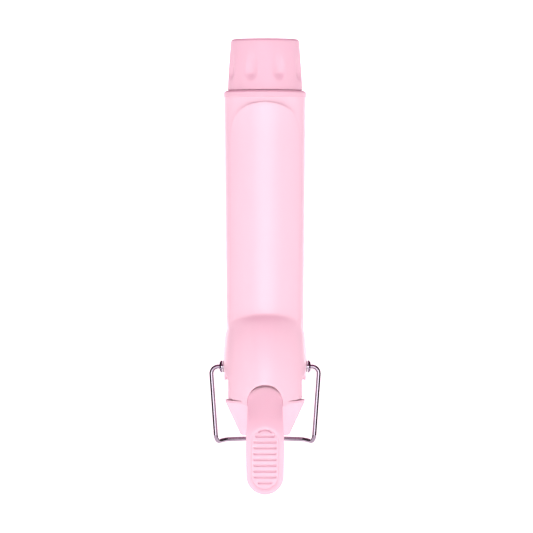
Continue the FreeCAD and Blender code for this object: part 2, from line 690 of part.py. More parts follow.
def lever_studs():
    group = []
    for z in STUD_Z:
        stud = rod_y(STUD_R, -30, lever_outer(z) + LEVER_ROOT_THICKNESS + STUD_TAIL, 0, z)
        boss = rod_y(STUD_R * 2, -30, lever_outer(z) - 0.15, 0, z)
        stud = stud.fuse(boss).common(hood_solid(HOOD_WALL + 0.02, HOOD_INNER_DROP))
        group.append(stud)
    return Part.makeCompound(group)


def stud_washers():
    group = []
    for z in STUD_Z:
        face = lever_outer(z) + LEVER_ROOT_THICKNESS + LEAF_GAP + LEAF_THICKNESS + 0.22
        washer = rod_y(WASHER_R, face, face + WASHER_THICKNESS, 0, z)
        group.append(washer.cut(rod_y(STUD_R, -40, 0, 0, z)))
    return Part.makeCompound(group)


# Stand body


def stand_wire():
    bow_z = STAND_CORNER_Z + 0.5
    right = [vec(WIRE_END_X, 0, PIVOT_Z), vec(STAND_TOP_X, 0, PIVOT_Z),
             vec(STAND_CORNER_X, 0, STAND_CORNER_Z), vec(*STAND_SHOULDER, bow_z),
             vec(STAND_BOW_X, STAND_BOW_Y, bow_z)]
    left = [vec(-p.x, p.y, p.z) for p in reversed(right)]
    return bent_tube(right + left, STAND_BENDS + STAND_BENDS[::-1], WIRE_R)


def stand_disc():
    inner_x, outer_x = DISC_X
    height = outer_x - inner_x
    disc = turned([(0, 0), (DISC_R, 0), (DISC_R, DISC_RIM), (DISC_R - 0.8, height), (0, height)])
    disc.rotate(ORIGIN, Y_AXIS, 90)
    disc.translate(vec(inner_x, 0, PIVOT_Z))
    return disc.cut(rod_x(WIRE_R, 0, 30, 0, PIVOT_Z))


def build_all():
    base = (cool_tip, tip_collar, tip_bracket, tip_screw, barrel, mount_ring, mount_screws, spreader_front,
            spreader_rear, heater_plate, insulation_front, insulation_rear, thermistor, thermal_fuse,
            sensor_lead, neck_housing, cone_base, base_screws, connector_block, contact_pins, bush_rings)
    clip = (clip_blade, thumb_lever, thumb_pad, clip_spring, lever_studs, stud_washers)
    for piece in base + clip + (stand_wire,):
        save(piece(), piece.__name__)
    save(heater_lead(-1), "heater_lead_left")
    save(heater_lead(1), "heater_lead_right")
    save(pivot_bush(), "pivot_bush_right")
    save(mirrored(pivot_bush()), "pivot_bush_left")
    save(stand_disc(), "stand_disc_right")
    save(mirrored(stand_disc()), "stand_disc_left")


build_all()
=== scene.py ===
import json
import math

import bmesh
import bpy
import numpy as np
from mathutils import Matrix, Vector


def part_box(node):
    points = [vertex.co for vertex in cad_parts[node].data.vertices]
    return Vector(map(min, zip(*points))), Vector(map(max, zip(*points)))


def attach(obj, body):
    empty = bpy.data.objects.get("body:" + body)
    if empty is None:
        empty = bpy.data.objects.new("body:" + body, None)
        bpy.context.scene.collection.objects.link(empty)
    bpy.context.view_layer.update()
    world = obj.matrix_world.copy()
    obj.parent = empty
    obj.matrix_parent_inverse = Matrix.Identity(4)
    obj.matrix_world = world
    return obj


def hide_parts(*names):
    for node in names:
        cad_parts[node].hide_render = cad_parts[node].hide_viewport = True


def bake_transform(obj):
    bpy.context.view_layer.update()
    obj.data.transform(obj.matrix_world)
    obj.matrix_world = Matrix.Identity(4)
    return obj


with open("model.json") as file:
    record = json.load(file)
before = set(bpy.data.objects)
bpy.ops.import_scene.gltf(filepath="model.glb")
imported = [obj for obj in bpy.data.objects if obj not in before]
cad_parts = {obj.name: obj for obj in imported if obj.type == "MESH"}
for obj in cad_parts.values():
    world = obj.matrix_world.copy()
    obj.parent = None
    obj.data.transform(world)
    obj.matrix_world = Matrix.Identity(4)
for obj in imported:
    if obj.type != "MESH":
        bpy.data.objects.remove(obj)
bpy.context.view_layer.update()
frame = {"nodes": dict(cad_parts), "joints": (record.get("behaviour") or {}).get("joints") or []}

MM = 0.001

# Places and sizes in millimetres, read from the frame where a CAD piece holds them.
BARREL_LOW, BARREL_HIGH = (corner.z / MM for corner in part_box("barrel"))
BARREL_R_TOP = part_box("barrel")[1].x / MM
BARREL_R_BOTTOM = BARREL_R_TOP - 1.15
TIP_LOW, TIP_HIGH = (corner.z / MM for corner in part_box("cool_tip"))
TIP_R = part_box("cool_tip")[1].x / MM
PIVOT = next(joint["pos_m"][2] for joint in frame["joints"] if joint["name"] == "clip_hinge") / MM
LEVER_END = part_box("thumb_lever")[0].z / MM
PAD_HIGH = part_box("thumb_pad")[1].z / MM
PAD_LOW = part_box("thumb_pad")[0].z / MM
BLADE_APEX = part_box("clip_blade")[1].z / MM


# Camera, light and floor


def camera():
    """A long lens from straight ahead, looking down by a little over a degree."""
    distance, tilt = 1.807, math.radians(1.3)
    aim_aside, aim_height = 0.00067, 0.0781
    data = bpy.data.cameras.new("camera")
    data.lens = 263.4
    data.sensor_width = 36
    data.clip_end = 100
    eye = bpy.data.objects.new("camera", data)
    eye.location = (aim_aside, -distance * math.cos(tilt), aim_height + distance * math.sin(tilt))
    eye.rotation_euler = (math.pi / 2 - tilt, 0, 0)
    bpy.context.scene.collection.objects.link(eye)
    bpy.context.scene.camera = eye


def softbox(name, place, aim, size, watts):
    data = bpy.data.lights.new(name, "AREA")
    data.shape = "RECTANGLE"
    data.size, data.size_y = size
    data.energy = watts
    box = bpy.data.objects.new(name, data)
    box.location = place
    box.rotation_euler = (Vector(aim) - Vector(place)).to_track_quat("-Z", "Y").to_euler()
    bpy.context.scene.collection.objects.link(box)


def studio():
    scene = bpy.context.scene
    scene.view_settings.view_transform = "Standard"
    scene.world = bpy.data.worlds.new("studio")
    scene.world.use_nodes = True
    sky = scene.world.node_tree.nodes["Background"]
    sky.inputs["Color"].default_value = colour("#FFA6CE")
    sky.inputs["Strength"].default_value = 0.54
    softbox("front_box", (0.0, -1.7, -0.35), (0, 0, 0.07), (1.3, 0.9), 7.6)
    softbox("strip_box", (0.0, -1.7, -0.16), (0, 0, 0.05), (0.16, 0.5), 1.3)
    softbox("left_box", (-1.5, -0.9, 0.1), (0, 0, 0.08), (0.8, 1.4), 2.2)
    softbox("right_box", (1.5, -0.9, 0.1), (0, 0, 0.08), (0.8, 1.4), 2.2)


def floor():
    """White paper under the object and up a wall on each side."""
    reach, level, wall_height = 6.0, -0.16, 1.4
    mesh = bpy.data.meshes.new("floor")
    shape = bmesh.new()
    bmesh.ops.create_grid(shape, x_segments=2, y_segments=2, size=reach)
    bmesh.ops.translate(shape, verts=shape.verts, vec=(0, 0, level))
    rim = [edge for edge in shape.edges if edge.is_boundary]
    wall = bmesh.ops.extrude_edge_only(shape, edges=rim)["geom"]
    top = [vert for vert in wall if isinstance(vert, bmesh.types.BMVert)]
    bmesh.ops.translate(shape, verts=top, vec=(0, 0, wall_height))
    shape.to_mesh(mesh)
    shape.free()
    ground = bpy.data.objects.new("floor", mesh)
    bpy.context.scene.collection.objects.link(ground)
    paper = bpy.data.materials.new("white_paper_roll")
    paper.use_nodes = True
    shader = paper.node_tree.nodes["Principled BSDF"]
    shader.inputs["Base Color"].default_value = (0.9, 0.9, 0.9, 1)
    shader.inputs["Roughness"].default_value = 0.9
    shader.inputs["Emission Color"].default_value = (1, 1, 1, 1)
    shader.inputs["Emission Strength"].default_value = 0.95
    mesh.materials.append(paper)


def dark_cards():
    """Black cards beside the object, seen only in its reflections, which draw its bright edges."""
    half_size, aside, forward, height = 1.1, 0.7, 0.1, 0.05
    upright = Matrix.Rotation(math.pi / 2, 3, "Y")
    shape = bmesh.new()
    for side in (-1, 1):
        card = bmesh.ops.create_grid(shape, x_segments=1, y_segments=1, size=half_size)["verts"]
        bmesh.ops.rotate(shape, verts=card, cent=(0, 0, 0), matrix=upright)
        bmesh.ops.translate(shape, verts=card, vec=(side * aside, -forward, height))
    mesh = bpy.data.meshes.new("dark_cards")
    shape.to_mesh(mesh)
    shape.free()
    cards = bpy.data.objects.new("dark_cards", mesh)
    bpy.context.scene.collection.objects.link(cards)
    felt = bpy.data.materials.new("black_felt")
    felt.use_nodes = True
    shader = felt.node_tree.nodes["Principled BSDF"]
    shader.inputs["Base Color"].default_value = (0.01, 0.01, 0.01, 1)
    shader.inputs["Roughness"].default_value = 1.0
    mesh.materials.append(felt)
    cards.visible_camera = cards.visible_diffuse = cards.visible_shadow = False


# Materials


def colour(text):
    """An sRGB hex value as the linear colour that a shader takes."""
    parts = [int(text[i:i + 2], 16) / 255 for i in (1, 3, 5)]
    return [p / 12.92 if p <= 0.04045 else ((p + 0.055) / 1.055) ** 2.4 for p in parts] + [1.0]


def add(tree, kind, settings=None, **inputs):
    """Adds a node with its properties. Inputs are values or sockets, by name with _ for a space,
    or by number as _6."""
    made = tree.nodes.new(kind)
    for name, value in (settings or {}).items():
        setattr(made, name, value)
    for name, value in inputs.items():
        socket = made.inputs[int(name[1:]) if name[1:].isdigit() else name.replace("_", " ")]
        if isinstance(value, bpy.types.NodeSocket):
            tree.links.new(value, socket)
        else:
            socket.default_value = value
    return made


def start_material(name, **shader):
    made = bpy.data.materials.new(name)
    made.use_nodes = True
    tree = made.node_tree
    surface = tree.nodes["Principled BSDF"]
    for key, value in shader.items():
        surface.inputs[key.replace("_", " ")].default_value = value
    place = add(tree, "ShaderNodeTexCoord").outputs["Object"]
    return made, tree, surface, place


def vary(tree, surface, place, light, dark, patch_mm, rough, grain_mm, bump_mm, stretch=(1, 1, 1)):
    """Colour patches, uneven gloss and a fine grain, each at a real size in millimetres."""
    spread = add(tree, "ShaderNodeMapping", Vector=place, Scale=stretch).outputs["Vector"]
    patches = add(tree, "ShaderNodeTexNoise", Vector=spread, Scale=1 / (patch_mm * MM), Detail=3.0)
    tint = add(tree, "ShaderNodeMix", {"data_type": "RGBA"}, Factor=patches.outputs["Fac"],
               _6=colour(light), _7=colour(dark))
    tree.links.new(tint.outputs[2], surface.inputs["Base Color"])
    grain = add(tree, "ShaderNodeTexNoise", Vector=spread, Scale=1 / (grain_mm * MM), Detail=2.0)
    gloss = add(tree, "ShaderNodeMapRange", Value=patches.outputs["Fac"],
                To_Min=rough[0], To_Max=rough[1])
    tree.links.new(gloss.outputs["Result"], surface.inputs["Roughness"])
    relief = add(tree, "ShaderNodeBump", Height=grain.outputs["Fac"], Distance=bump_mm * MM,
                 Strength=1.0)
    tree.links.new(relief.outputs["Normal"], surface.inputs["Normal"])


def baked_enamel(name, light, dark):
    """Heat-resistant enamel sprayed on metal: an even satin gloss with a faint orange peel."""
    made, tree, surface, place = start_material(name, IOR=1.5, Coat_Weight=0.5, Coat_Roughness=0.3)
    vary(tree, surface, place, light, dark, patch_mm=24, rough=(0.36, 0.44),
         grain_mm=1.1, bump_mm=0.004)
    return made


def moulded_nylon(name, light, dark):
    """Heat-resistant nylon, injection moulded with a fine spark texture, duller than the enamel."""
    made, tree, surface, place = start_material(name, IOR=1.53, Subsurface_Weight=0.06)
    surface.inputs["Subsurface Radius"].default_value = (0.004, 0.002, 0.003)
    surface.inputs["Subsurface Scale"].default_value = 0.5
    vary(tree, surface, place, light, dark, patch_mm=15, rough=(0.38, 0.5),
         grain_mm=0.5, bump_mm=0.006)
    return made


def bright_chrome():
    """Chrome plate on drawn wire: mirror bright, with faint lengthwise drawing marks."""
    made, tree, surface, place = start_material("bright_chrome_plate", Metallic=1.0)
    vary(tree, surface, place, "#A7A2AD", "#8B8693", patch_mm=4, rough=(0.06, 0.14),
         grain_mm=0.5, bump_mm=0.001, stretch=(1, 1, 0.2))
    return made


def zinc_steel():
    """Zinc-plated steel: grey, with the cloudy crystals of the plating."""
    made, tree, surface, place = start_material("zinc_plated_steel", Metallic=1.0)
    vary(tree, surface, place, "#B8B8BA", "#98989C", patch_mm=2, rough=(0.28, 0.45),
         grain_mm=0.3, bump_mm=0.004)
    return made


def spring_strip():
    """Blued spring steel, rolled along its length."""
    made, tree, surface, place = start_material("rolled_spring_steel", Metallic=1.0)
    vary(tree, surface, place, "#8C8F96", "#74787F", patch_mm=3, rough=(0.25, 0.4),
         grain_mm=0.2, bump_mm=0.004, stretch=(1, 1, 0.1))
    return made


def extruded_aluminium():
    """Mill-finish aluminium with die lines along the bar."""
    made, tree, surface, place = start_material("extruded_aluminium", Metallic=1.0)
    vary(tree, surface, place, "#CBCCCE", "#B2B3B6", patch_mm=5, rough=(0.3, 0.5),
         grain_mm=0.4, bump_mm=0.01, stretch=(1, 1, 0.05))
    return made


def turned_brass():
    """Turned brass contacts, slightly tarnished."""
    made, tree, surface, place = start_material("turned_brass", Metallic=1.0)
    vary(tree, surface, place, "#D9B765", "#B8923F", patch_mm=1.5, rough=(0.2, 0.35),
         grain_mm=0.2, bump_mm=0.003)
    return made


def glass_filled_resin():
    """Glass-filled phenolic: matt, with pale fibre flecks."""
    made, tree, surface, place = start_material("glass_filled_resin", IOR=1.55)
    vary(tree, surface, place, "#DAD5C8", "#B5AE9E", patch_mm=1.2, rough=(0.5, 0.7),
         grain_mm=0.3, bump_mm=0.015)
    return made


def fired_ceramic():
    """Doped ceramic heater slab: dark grey and granular."""
    made, tree, surface, place = start_material("fired_heater_ceramic", IOR=1.8)
    vary(tree, surface, place, "#57524F", "#3C3836", patch_mm=1.0, rough=(0.55, 0.75),
         grain_mm=0.2, bump_mm=0.01)
    return made


def pressed_mica():
    """Mica flakes pressed into a sheet: pale bronze with glints."""
    made, tree, surface, place = start_material("pressed_mica", IOR=1.58, Sheen_Weight=0.1)
    vary(tree, surface, place, "#C9B78C", "#A28C5D", patch_mm=3, rough=(0.3, 0.6),
         grain_mm=0.8, bump_mm=0.02)
    return made


def glass_bead():
    """Amber glass round a sensor bead."""
    made, tree, surface, place = start_material("amber_glass_bead", IOR=1.52,
                                                Transmission_Weight=0.4)
    vary(tree, surface, place, "#D79A4A", "#A86A26", patch_mm=1.0, rough=(0.05, 0.12),
         grain_mm=0.5, bump_mm=0.002)
    return made


def silicone_jacket():
    """Silicone rubber wire jacket: off-white and dusty."""
    made, tree, surface, place = start_material("silicone_wire_jacket", IOR=1.41)
    vary(tree, surface, place, "#EDE9E1", "#D6D0C4", patch_mm=4, rough=(0.5, 0.7),
         grain_mm=0.4, bump_mm=0.01)
    return made


# Mesh tools


def link_piece(name, shape, body, slot, material, *nodes):
    """Turns a shape in millimetres into a piece that stands for the nodes named. It rides on
    a body, if one is given."""
    bmesh.ops.scale(shape, verts=shape.verts, vec=(MM, MM, MM))
    mesh = bpy.data.meshes.new(name)
    shape.to_mesh(mesh)
    shape.free()
    mesh.shade_smooth()
    mesh.materials.append(material)
    piece = bpy.data.objects.new(name, mesh)
    bpy.context.scene.collection.objects.link(piece)
    if body:
        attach(piece, body)
    if nodes:
        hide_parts(*nodes)
    return piece


def round_edges(piece, width_mm, segments=3, angle=50):
    """A Bevel modifier on the sharp edges."""
    edge = piece.modifiers.new("round_edges", "BEVEL")
    edge.width = width_mm * MM
    edge.segments = segments
    edge.limit_method = "ANGLE"
    edge.angle_limit = math.radians(angle)


def spun(profile, steps):
    """A full turn of an open or closed outline of (radius, height) points about Z."""
    shape = bmesh.new()
    rim = [shape.verts.new((r, 0, z)) for r, z in profile]
    for low, high in zip(rim, rim[1:]):
        shape.edges.new((low, high))
    bmesh.ops.spin(shape, geom=shape.verts[:] + shape.edges[:], cent=(0, 0, 0), axis=(0, 0, 1),
                   angle=2 * math.pi, steps=steps, use_merge=True)
    bmesh.ops.remove_doubles(shape, verts=shape.verts, dist=0.0005)
    bmesh.ops.recalc_face_normals(shape, faces=shape.faces)
    return shape


def arc(centre, radius, start, end, steps):
    """Points on an arc, with angles in degrees."""
    for index in range(steps + 1):
        angle = math.radians(start + (end - start) * index / steps)
        yield centre[0] + radius * math.cos(angle), centre[1] + radius * math.sin(angle)


def line(start, end, steps):
    for index in range(1, steps):
        share = index / steps
        yield start[0] + (end[0] - start[0]) * share, start[1] + (end[1] - start[1]) * share


def with_mirror(right_half):
    """Closes a right-hand outline, from top centre to bottom centre, with its mirror image."""
    left = [(-x, z) for x, z in reversed(right_half) if x > 1e-6]
    return np.array(list(right_half) + left)


def inside(points, loop):
    """Which points lie inside a closed outline."""
    found = np.zeros(len(points), bool)
    for (x0, y0), (x1, y1) in zip(loop, np.roll(loop, -1, 0)):
        if y0 == y1:
            continue
        crosses = (points[:, 1] < y0) != (points[:, 1] < y1)
        edge_x = x0 + (points[:, 1] - y0) * (x1 - x0) / (y1 - y0)
        found ^= crosses & (points[:, 0] < edge_x)
    return found


def nearest(point, starts, spans):
    """The nearest point on a set of outline segments."""
    share = np.clip(((point - starts) * spans).sum(1) / (spans ** 2).sum(1), 0, 1)
    feet = starts + spans * share[:, None]
    return feet[np.argmin(((feet - point) ** 2).sum(1))]


def flat_plate(outline, holes, cell):
    """A flat grid trimmed to an outline and its holes, with its rim moved onto them."""
    low, high = outline.min(0), outline.max(0)
    middle = (low + high) / 2
    columns, rows = (int(math.ceil(size / cell)) + 2 for size in high - low)
    shape = bmesh.new()
    bmesh.ops.create_grid(shape, x_segments=columns, y_segments=rows, size=0.5)
    bmesh.ops.scale(shape, verts=shape.verts, vec=(columns * cell, rows * cell, 1))
    bmesh.ops.translate(shape, verts=shape.verts, vec=(middle[0], middle[1], 0))
    centres = np.array([face.calc_center_median()[:2] for face in shape.faces])
    keep = inside(centres, outline)
    for hole in holes:
        keep &= ~inside(centres, hole)
    outer = [face for face, kept in zip(shape.faces[:], keep) if not kept]
    bmesh.ops.delete(shape, geom=outer, context="FACES")
    loops = [outline] + list(holes)
    starts = np.concatenate(loops)
    spans = np.concatenate([np.roll(loop, -1, 0) - loop for loop in loops])
    rim = [vert for vert in shape.verts if vert.is_boundary]
    for vert in rim:
        vert.co.x, vert.co.y = nearest(np.array(vert.co[:2]), starts, spans)
    inner = [vert for vert in shape.verts if not vert.is_boundary]
    for _ in range(6):
        bmesh.ops.smooth_vert(shape, verts=inner, factor=0.5, use_axis_x=True, use_axis_y=True)
    return shape


def shaped_plate(outline, holes, cell, place):
    """A trimmed flat plate, moved point by point onto a surface."""
    shape = flat_plate(outline, holes, cell)
    for vert in shape.verts:
        vert.co = place(vert.co.x, vert.co.y)
    bmesh.ops.recalc_face_normals(shape, faces=shape.faces)
    front = max(shape.faces, key=lambda face: -face.calc_center_median().y)
    if front.normal.y > 0:
        bmesh.ops.reverse_faces(shape, faces=shape.faces)
    return shape


def thicken(piece, thickness_mm):
    wall = piece.modifiers.new("wall", "SOLIDIFY")
    wall.thickness = thickness_mm * MM
    wall.offset = -1
    wall.use_even_offset = True
    wall.use_quality_normals = True


def smooth_step(low, high, value):
    share = min(max((value - low) / (high - low), 0.0), 1.0)
    return share * share * (3 - 2 * share)


def soft_max(a, b, width):
    """The larger of two sizes, with a rounded valley between them."""
    return 0.5 * (a + b + math.sqrt((a - b) ** 2 + width ** 2))


# Cool tip and its collar

DIMPLES = 8
DIMPLE_LOW, DIMPLE_HIGH = 163.2, 178.6
DIMPLE_HALF_WIDTH = 3.7
DIMPLE_DEPTH = 1.2
TIP_BORE_R = 14.4
TIP_TAPER = 1.65
COLLAR_R = 19.08


def dimple_depth(angle, z):
    """How far a finger dimple sinks in: a teardrop, steep at its lower end and fading upwards."""
    share = (z - DIMPLE_LOW) / (DIMPLE_HIGH - DIMPLE_LOW)
    if not 0 < share < 1:
        return 0.0
    pitch = 2 * math.pi / DIMPLES
    off = (angle / pitch) % 1 - 0.5
    half = DIMPLE_HALF_WIDTH * (1 - 0.3 * share) * smooth_step(-0.25, 0.3, share)
    across = abs(off * pitch * TIP_R) / half
    if across >= 1:
        return 0.0
    along = smooth_step(0, 0.3, share) * (1 - smooth_step(0.25, 1, share))
    return DIMPLE_DEPTH * along * (1 - across ** 2) ** 1.6


def tip_radius(z):
    share = (z - TIP_LOW) / (TIP_HIGH - TIP_LOW)
    return TIP_R - TIP_TAPER * share ** 1.1


def tip_cap(material):
    edge, foot_edge, rows = 1.6, 0.45, 90
    top_r = tip_radius(TIP_HIGH - edge)
    profile = [(13.0, TIP_LOW + 4), (TIP_BORE_R, TIP_LOW), (TIP_R - 0.5, TIP_LOW)]
    profile += list(arc((TIP_R - foot_edge, TIP_LOW + foot_edge), foot_edge, -90, 0, 4))
    for index in range(1, rows):
        z = TIP_LOW + foot_edge + (TIP_HIGH - edge - TIP_LOW - foot_edge) * index / rows
        profile.append((tip_radius(z), z))
    profile += list(arc((top_r - edge, TIP_HIGH - edge), edge, 0, 90, 8))
    profile += [(top_r - 4, TIP_HIGH - 0.02), (top_r * 0.4, TIP_HIGH - 0.04), (0, TIP_HIGH - 0.04)]
    shape = spun(profile, 288)
    for vert in shape.verts:
        r = math.hypot(vert.co.x, vert.co.y)
        if r > TIP_BORE_R + 0.2:
            sink = dimple_depth(math.atan2(vert.co.y, vert.co.x), vert.co.z)
            vert.co.x *= 1 - sink / r
            vert.co.y *= 1 - sink / r
    bmesh.ops.recalc_face_normals(shape, faces=shape.faces)
    link_piece("tip_cap", shape, "base", "tip_plastic", material, "cool_tip")


def bevelled_collar(material):
    low, high = BARREL_HIGH, TIP_LOW - 0.2
    profile = [(TIP_BORE_R, high), (TIP_R + 0.25, high)]
    profile += list(arc((TIP_R + 0.2, high - 0.5), 0.5, 80, 45, 4))
    profile += list(arc((COLLAR_R - 0.7, high - 1.15), 0.7, 45, 0, 5))
    profile += [(COLLAR_R, low + 0.25)]
    profile += list(arc((COLLAR_R - 0.2, low + 0.22), 0.2, 0, -90, 4))
    profile += [(TIP_BORE_R, low + 0.02), (TIP_BORE_R, high)]
    shape = spun(profile, 192)
    link_piece("bevelled_collar", shape, "base", "tip_plastic", material, "tip_collar")


# Clip: blade, scoop and hood in one sheet

SHEET = 0.9
BLADE_STAND_OFF = 1.25
BLADE_EDGE_X = 16.1
BLADE_END = 13.9
BLADE_FLARE = 0.45
HOOD_TOP, HOOD_CROWN = 56.0, 20.0
HOOD_TOP_HALF_WIDTH, HOOD_TOP_DEPTH = 16.65, 18.6
HOOD_TOP_DIP = 2.6
HOOD_SPREAD, HOOD_BULGE = 3.05, 8.65
HOOD_HALF_WIDTH, HOOD_DEPTH = 19.2, 27.25
EAR_TUCK = 1.25
EAR_R = 7.4
EAR_DROP = 5.6
EAR_HOLE_R = 2.65
UNROLL_R = 19.0
EAR_S = UNROLL_R * math.pi / 2


def barrel_radius(z):
    share = (z - BARREL_LOW) / (BARREL_HIGH - BARREL_LOW)
    return BARREL_R_BOTTOM + share * (BARREL_R_TOP - BARREL_R_BOTTOM)


def hood_radius(angle, z):
    """Distance of the hood's dome from the axis. The dome's front follows a quarter ellipse."""
    level = z + HOOD_TOP_DIP * math.sin(angle) ** 2
    if level > HOOD_TOP:
        return HOOD_TOP_DEPTH - 0.8 * (level - HOOD_TOP)
    left = max(0.0, 1 - (HOOD_TOP - level) / (HOOD_TOP - HOOD_CROWN))
    share = min(1.0, math.acos(left) / (math.pi / 2))
    rise = math.sin(share * math.pi / 2)
    half_width = HOOD_TOP_HALF_WIDTH + HOOD_SPREAD * rise - 0.5 * share ** 8
    half_width -= EAR_TUCK * smooth_step(1.1, 1.45, abs(angle)) * smooth_step(34, 27, z)
    depth = HOOD_TOP_DEPTH + HOOD_BULGE * rise
    return 1 / math.hypot(math.sin(angle) / half_width, math.cos(angle) / depth)


def clip_surface(s, z):
    """A point of the clip's outer face, from its unrolled place."""
    angle = s / UNROLL_R
    flare = BLADE_FLARE * smooth_step(BLADE_APEX - BLADE_END, BLADE_APEX, z)
    blade = barrel_radius(z) + BLADE_STAND_OFF + flare
    blade -= 3 * smooth_step(52, 44, z) + 3 * smooth_step(1.02, 1.3, abs(angle))
    radius = soft_max(blade, hood_radius(angle, z), 1.1)
    return Vector((radius * math.sin(angle), -radius * math.cos(angle), z))


def blade_edge_s(z):
    return UNROLL_R * math.asin(BLADE_EDGE_X / (barrel_radius(z) + BLADE_STAND_OFF))


def apron_s(x):
    """Unrolled place of a point on the hood's apron, from its distance to the side."""
    return UNROLL_R * math.atan2(x, HOOD_DEPTH * math.sqrt(1 - (x / HOOD_HALF_WIDTH) ** 2))


def clip_outline():
    """Unrolled outline: blade end and edge, rear of the hood, round ear, notch, apron, tongue
    and arch."""
    base = BLADE_APEX - 0.35 - BLADE_END
    half = blade_edge_s(base)
    right = []
    for turn in range(0, 91, 3):
        turn = math.radians(turn)
        right.append((half * math.sin(turn), base + BLADE_END * math.cos(turn) ** 1.12))
    right += [(blade_edge_s(z), z) for z in np.arange(base - 2, 58, -2)]
    right += [(19.6, 55.5), (20.6, 53.2), (22.6, 51.0), (25.4, 48.4), (28.4, 45.6), (31.4, 42.6),
              (34.2, 39.2)]
    right += [(s, z if z > PIVOT else PIVOT + (z - PIVOT) * EAR_DROP / EAR_R)
              for s, z in arc((EAR_S, PIVOT), EAR_R, 30, -158, 40)]
    side, tongue, arch = apron_s(15.8), apron_s(10.6), apron_s(8.2)
    right += [(21.6, 28.4), (19.6, 28.0), (17.8, 27.4), (16.4, 26.2), (side + 0.4, 24.6),
              (side, 22.6)]
    right += list(line((side, 22.6), (side, 18.0), 4))
    right += list(arc((side - 0.5, 18.1), 0.5, 0, -80, 5))
    right += list(line((side - 0.5, 17.6), (tongue, 17.0), 4))
    right += [(tongue, 17.0), (tongue - 0.1, 15.6), (tongue - 0.9, 14.7), (arch + 0.2, 14.7),
              (arch, 15.2)]
    for turn in range(0, 91, 5):
        turn = math.radians(turn)
        right.append((arch * math.cos(turn), 16.9 + 7.7 * math.sin(turn)))
    right = [(max(s, 0.0), z) for s, z in right]
    return with_mirror(right)


def clip_shell(material):
    holes = [np.array(list(arc((side * EAR_S, PIVOT), EAR_HOLE_R, 0, 348, 29))) for side in (-1, 1)]
    shape = shaped_plate(clip_outline(), holes, 0.85, clip_surface)
    piece = link_piece("clip_shell", shape, "clip", "clip_coat", material, "clip_blade")
    thicken(piece, SHEET)
    round_edges(piece, 0.18)


def ear_pads(material):
    """Pressed pads on the ears' inner faces, which run against the neck."""
    face, back, rim, hole = 17.6, 18.9, 6.2, EAR_HOLE_R
    section = [(hole, back), (hole, face + 0.2), (hole + 0.2, face), (rim - 0.4, face),
               (rim, face + 0.4), (rim, back), (hole, back)]
    sideways = Matrix.Rotation(math.pi / 2, 3, "Y")
    shape = spun(section, 72)
    bmesh.ops.rotate(shape, verts=shape.verts, cent=(0, 0, 0), matrix=sideways)
    bmesh.ops.translate(shape, verts=shape.verts, vec=(0, 0, PIVOT))
    whole = shape.verts[:] + shape.edges[:] + shape.faces[:]
    bmesh.ops.mirror(shape, geom=whole, axis="X", merge_dist=-1)
    bmesh.ops.recalc_face_normals(shape, faces=shape.faces)
    piece = link_piece("ear_pads", shape, "clip", "clip_coat", material)
    round_edges(piece, 0.05, 2)


# Thumb lever and its ridged pad

# Height and depth of the lever's outer face along its middle, from its root down.
LEVER_LINE = ((38.0, -22.9), (26.5, -22.9), (22.5, -24.7), (18.0, -26.6), (11.0, -29.3),
              (6.0, -31.1), (0.0, -32.0), (-14.0, -32.0), (LEVER_END, -31.5))
LEVER_WALL = 2.5
LEVER_END_R = 8.5
ARCH_STEP = 1.6
PAD_HALF_WIDTH = 6.3
PAD_LIP, PAD_SEAT = 0.3, 1.7
RIDGES = 9
RIDGE_HIGH, RIDGE_PITCH = 1.4, 2.66
GROOVE_DEPTH, ARCHED_GROOVE_DEPTH = 1.2, 1.0


def lever_face(z):
    """Depth of the lever's outer face along its middle, with its bends softened."""
    heights, depths = zip(*reversed(LEVER_LINE))
    near = [np.interp(z + shift, heights, depths) for shift in (-3, -1.5, 0, 1.5, 3)]
    return float(sum(near) / len(near))


def capsule_gap(x, z, half, high, low):
    """Distance outside a stadium outline; negative inside."""
    middle = min(max(z, low + half), high - half)
    return math.hypot(x, z - middle) - half


def lever_sink(x, z):
    """How far the lever's face is set in: a step under the hood's arch, and the pad's recess."""
    gap = capsule_gap(x, z, PAD_HALF_WIDTH, PAD_HIGH, PAD_LOW)
    lip = PAD_LIP * (1 - smooth_step(-0.2, 1.0, gap))
    seat = PAD_SEAT * (1 - smooth_step(-0.9, -0.4, gap))
    arch = smooth_step(23.5, 24.1, z + 0.045 * x * x) - smooth_step(25.2, 26.2, z)
    return lip + seat + ARCH_STEP * max(arch, 0)


def lever_surface(x, z):
    crown = 0.5 * smooth_step(-2, 14, z) + 0.08
    y = lever_face(z) + crown * (x / LEVER_END_R) ** 2 * (1 + 3.2 * smooth_step(8, 20, z))
    return Vector((x, y + lever_sink(x, z), z))


def lever_outline():
    right = [(0.0, 37.5), (4.0, 37.5), (6.5, 36.5), (7.6, 34.0)]
    right += list(line((7.6, 34.0), (7.85, 24.0), 8))
    right += [(7.86, 22.0), (7.9, 18.0), (7.96, 14.0), (8.1, 9.5), (8.36, 5.0), (8.62, 1.0),
              (8.76, -3.0), (8.72, -7.0), (8.62, -11.5)]
    right += list(arc((0, LEVER_END + LEVER_END_R), LEVER_END_R, 0, -90, 20))
    return with_mirror(right)


def lever_body(material):
    shape = shaped_plate(lever_outline(), [], 0.45, lever_surface)
    piece = link_piece("lever_body", shape, "clip", "lever_plastic", material, "thumb_lever")
    thicken(piece, LEVER_WALL)
    thinned = piece.vertex_groups.new(name="wall")
    for vert in piece.data.vertices:
        sink = lever_sink(vert.co.x / MM, vert.co.z / MM)
        thinned.add([vert.index], 1 - sink / LEVER_WALL, "REPLACE")
    piece.modifiers["wall"].vertex_group = thinned.name
    round_edges(piece, 0.75, 4, 60)


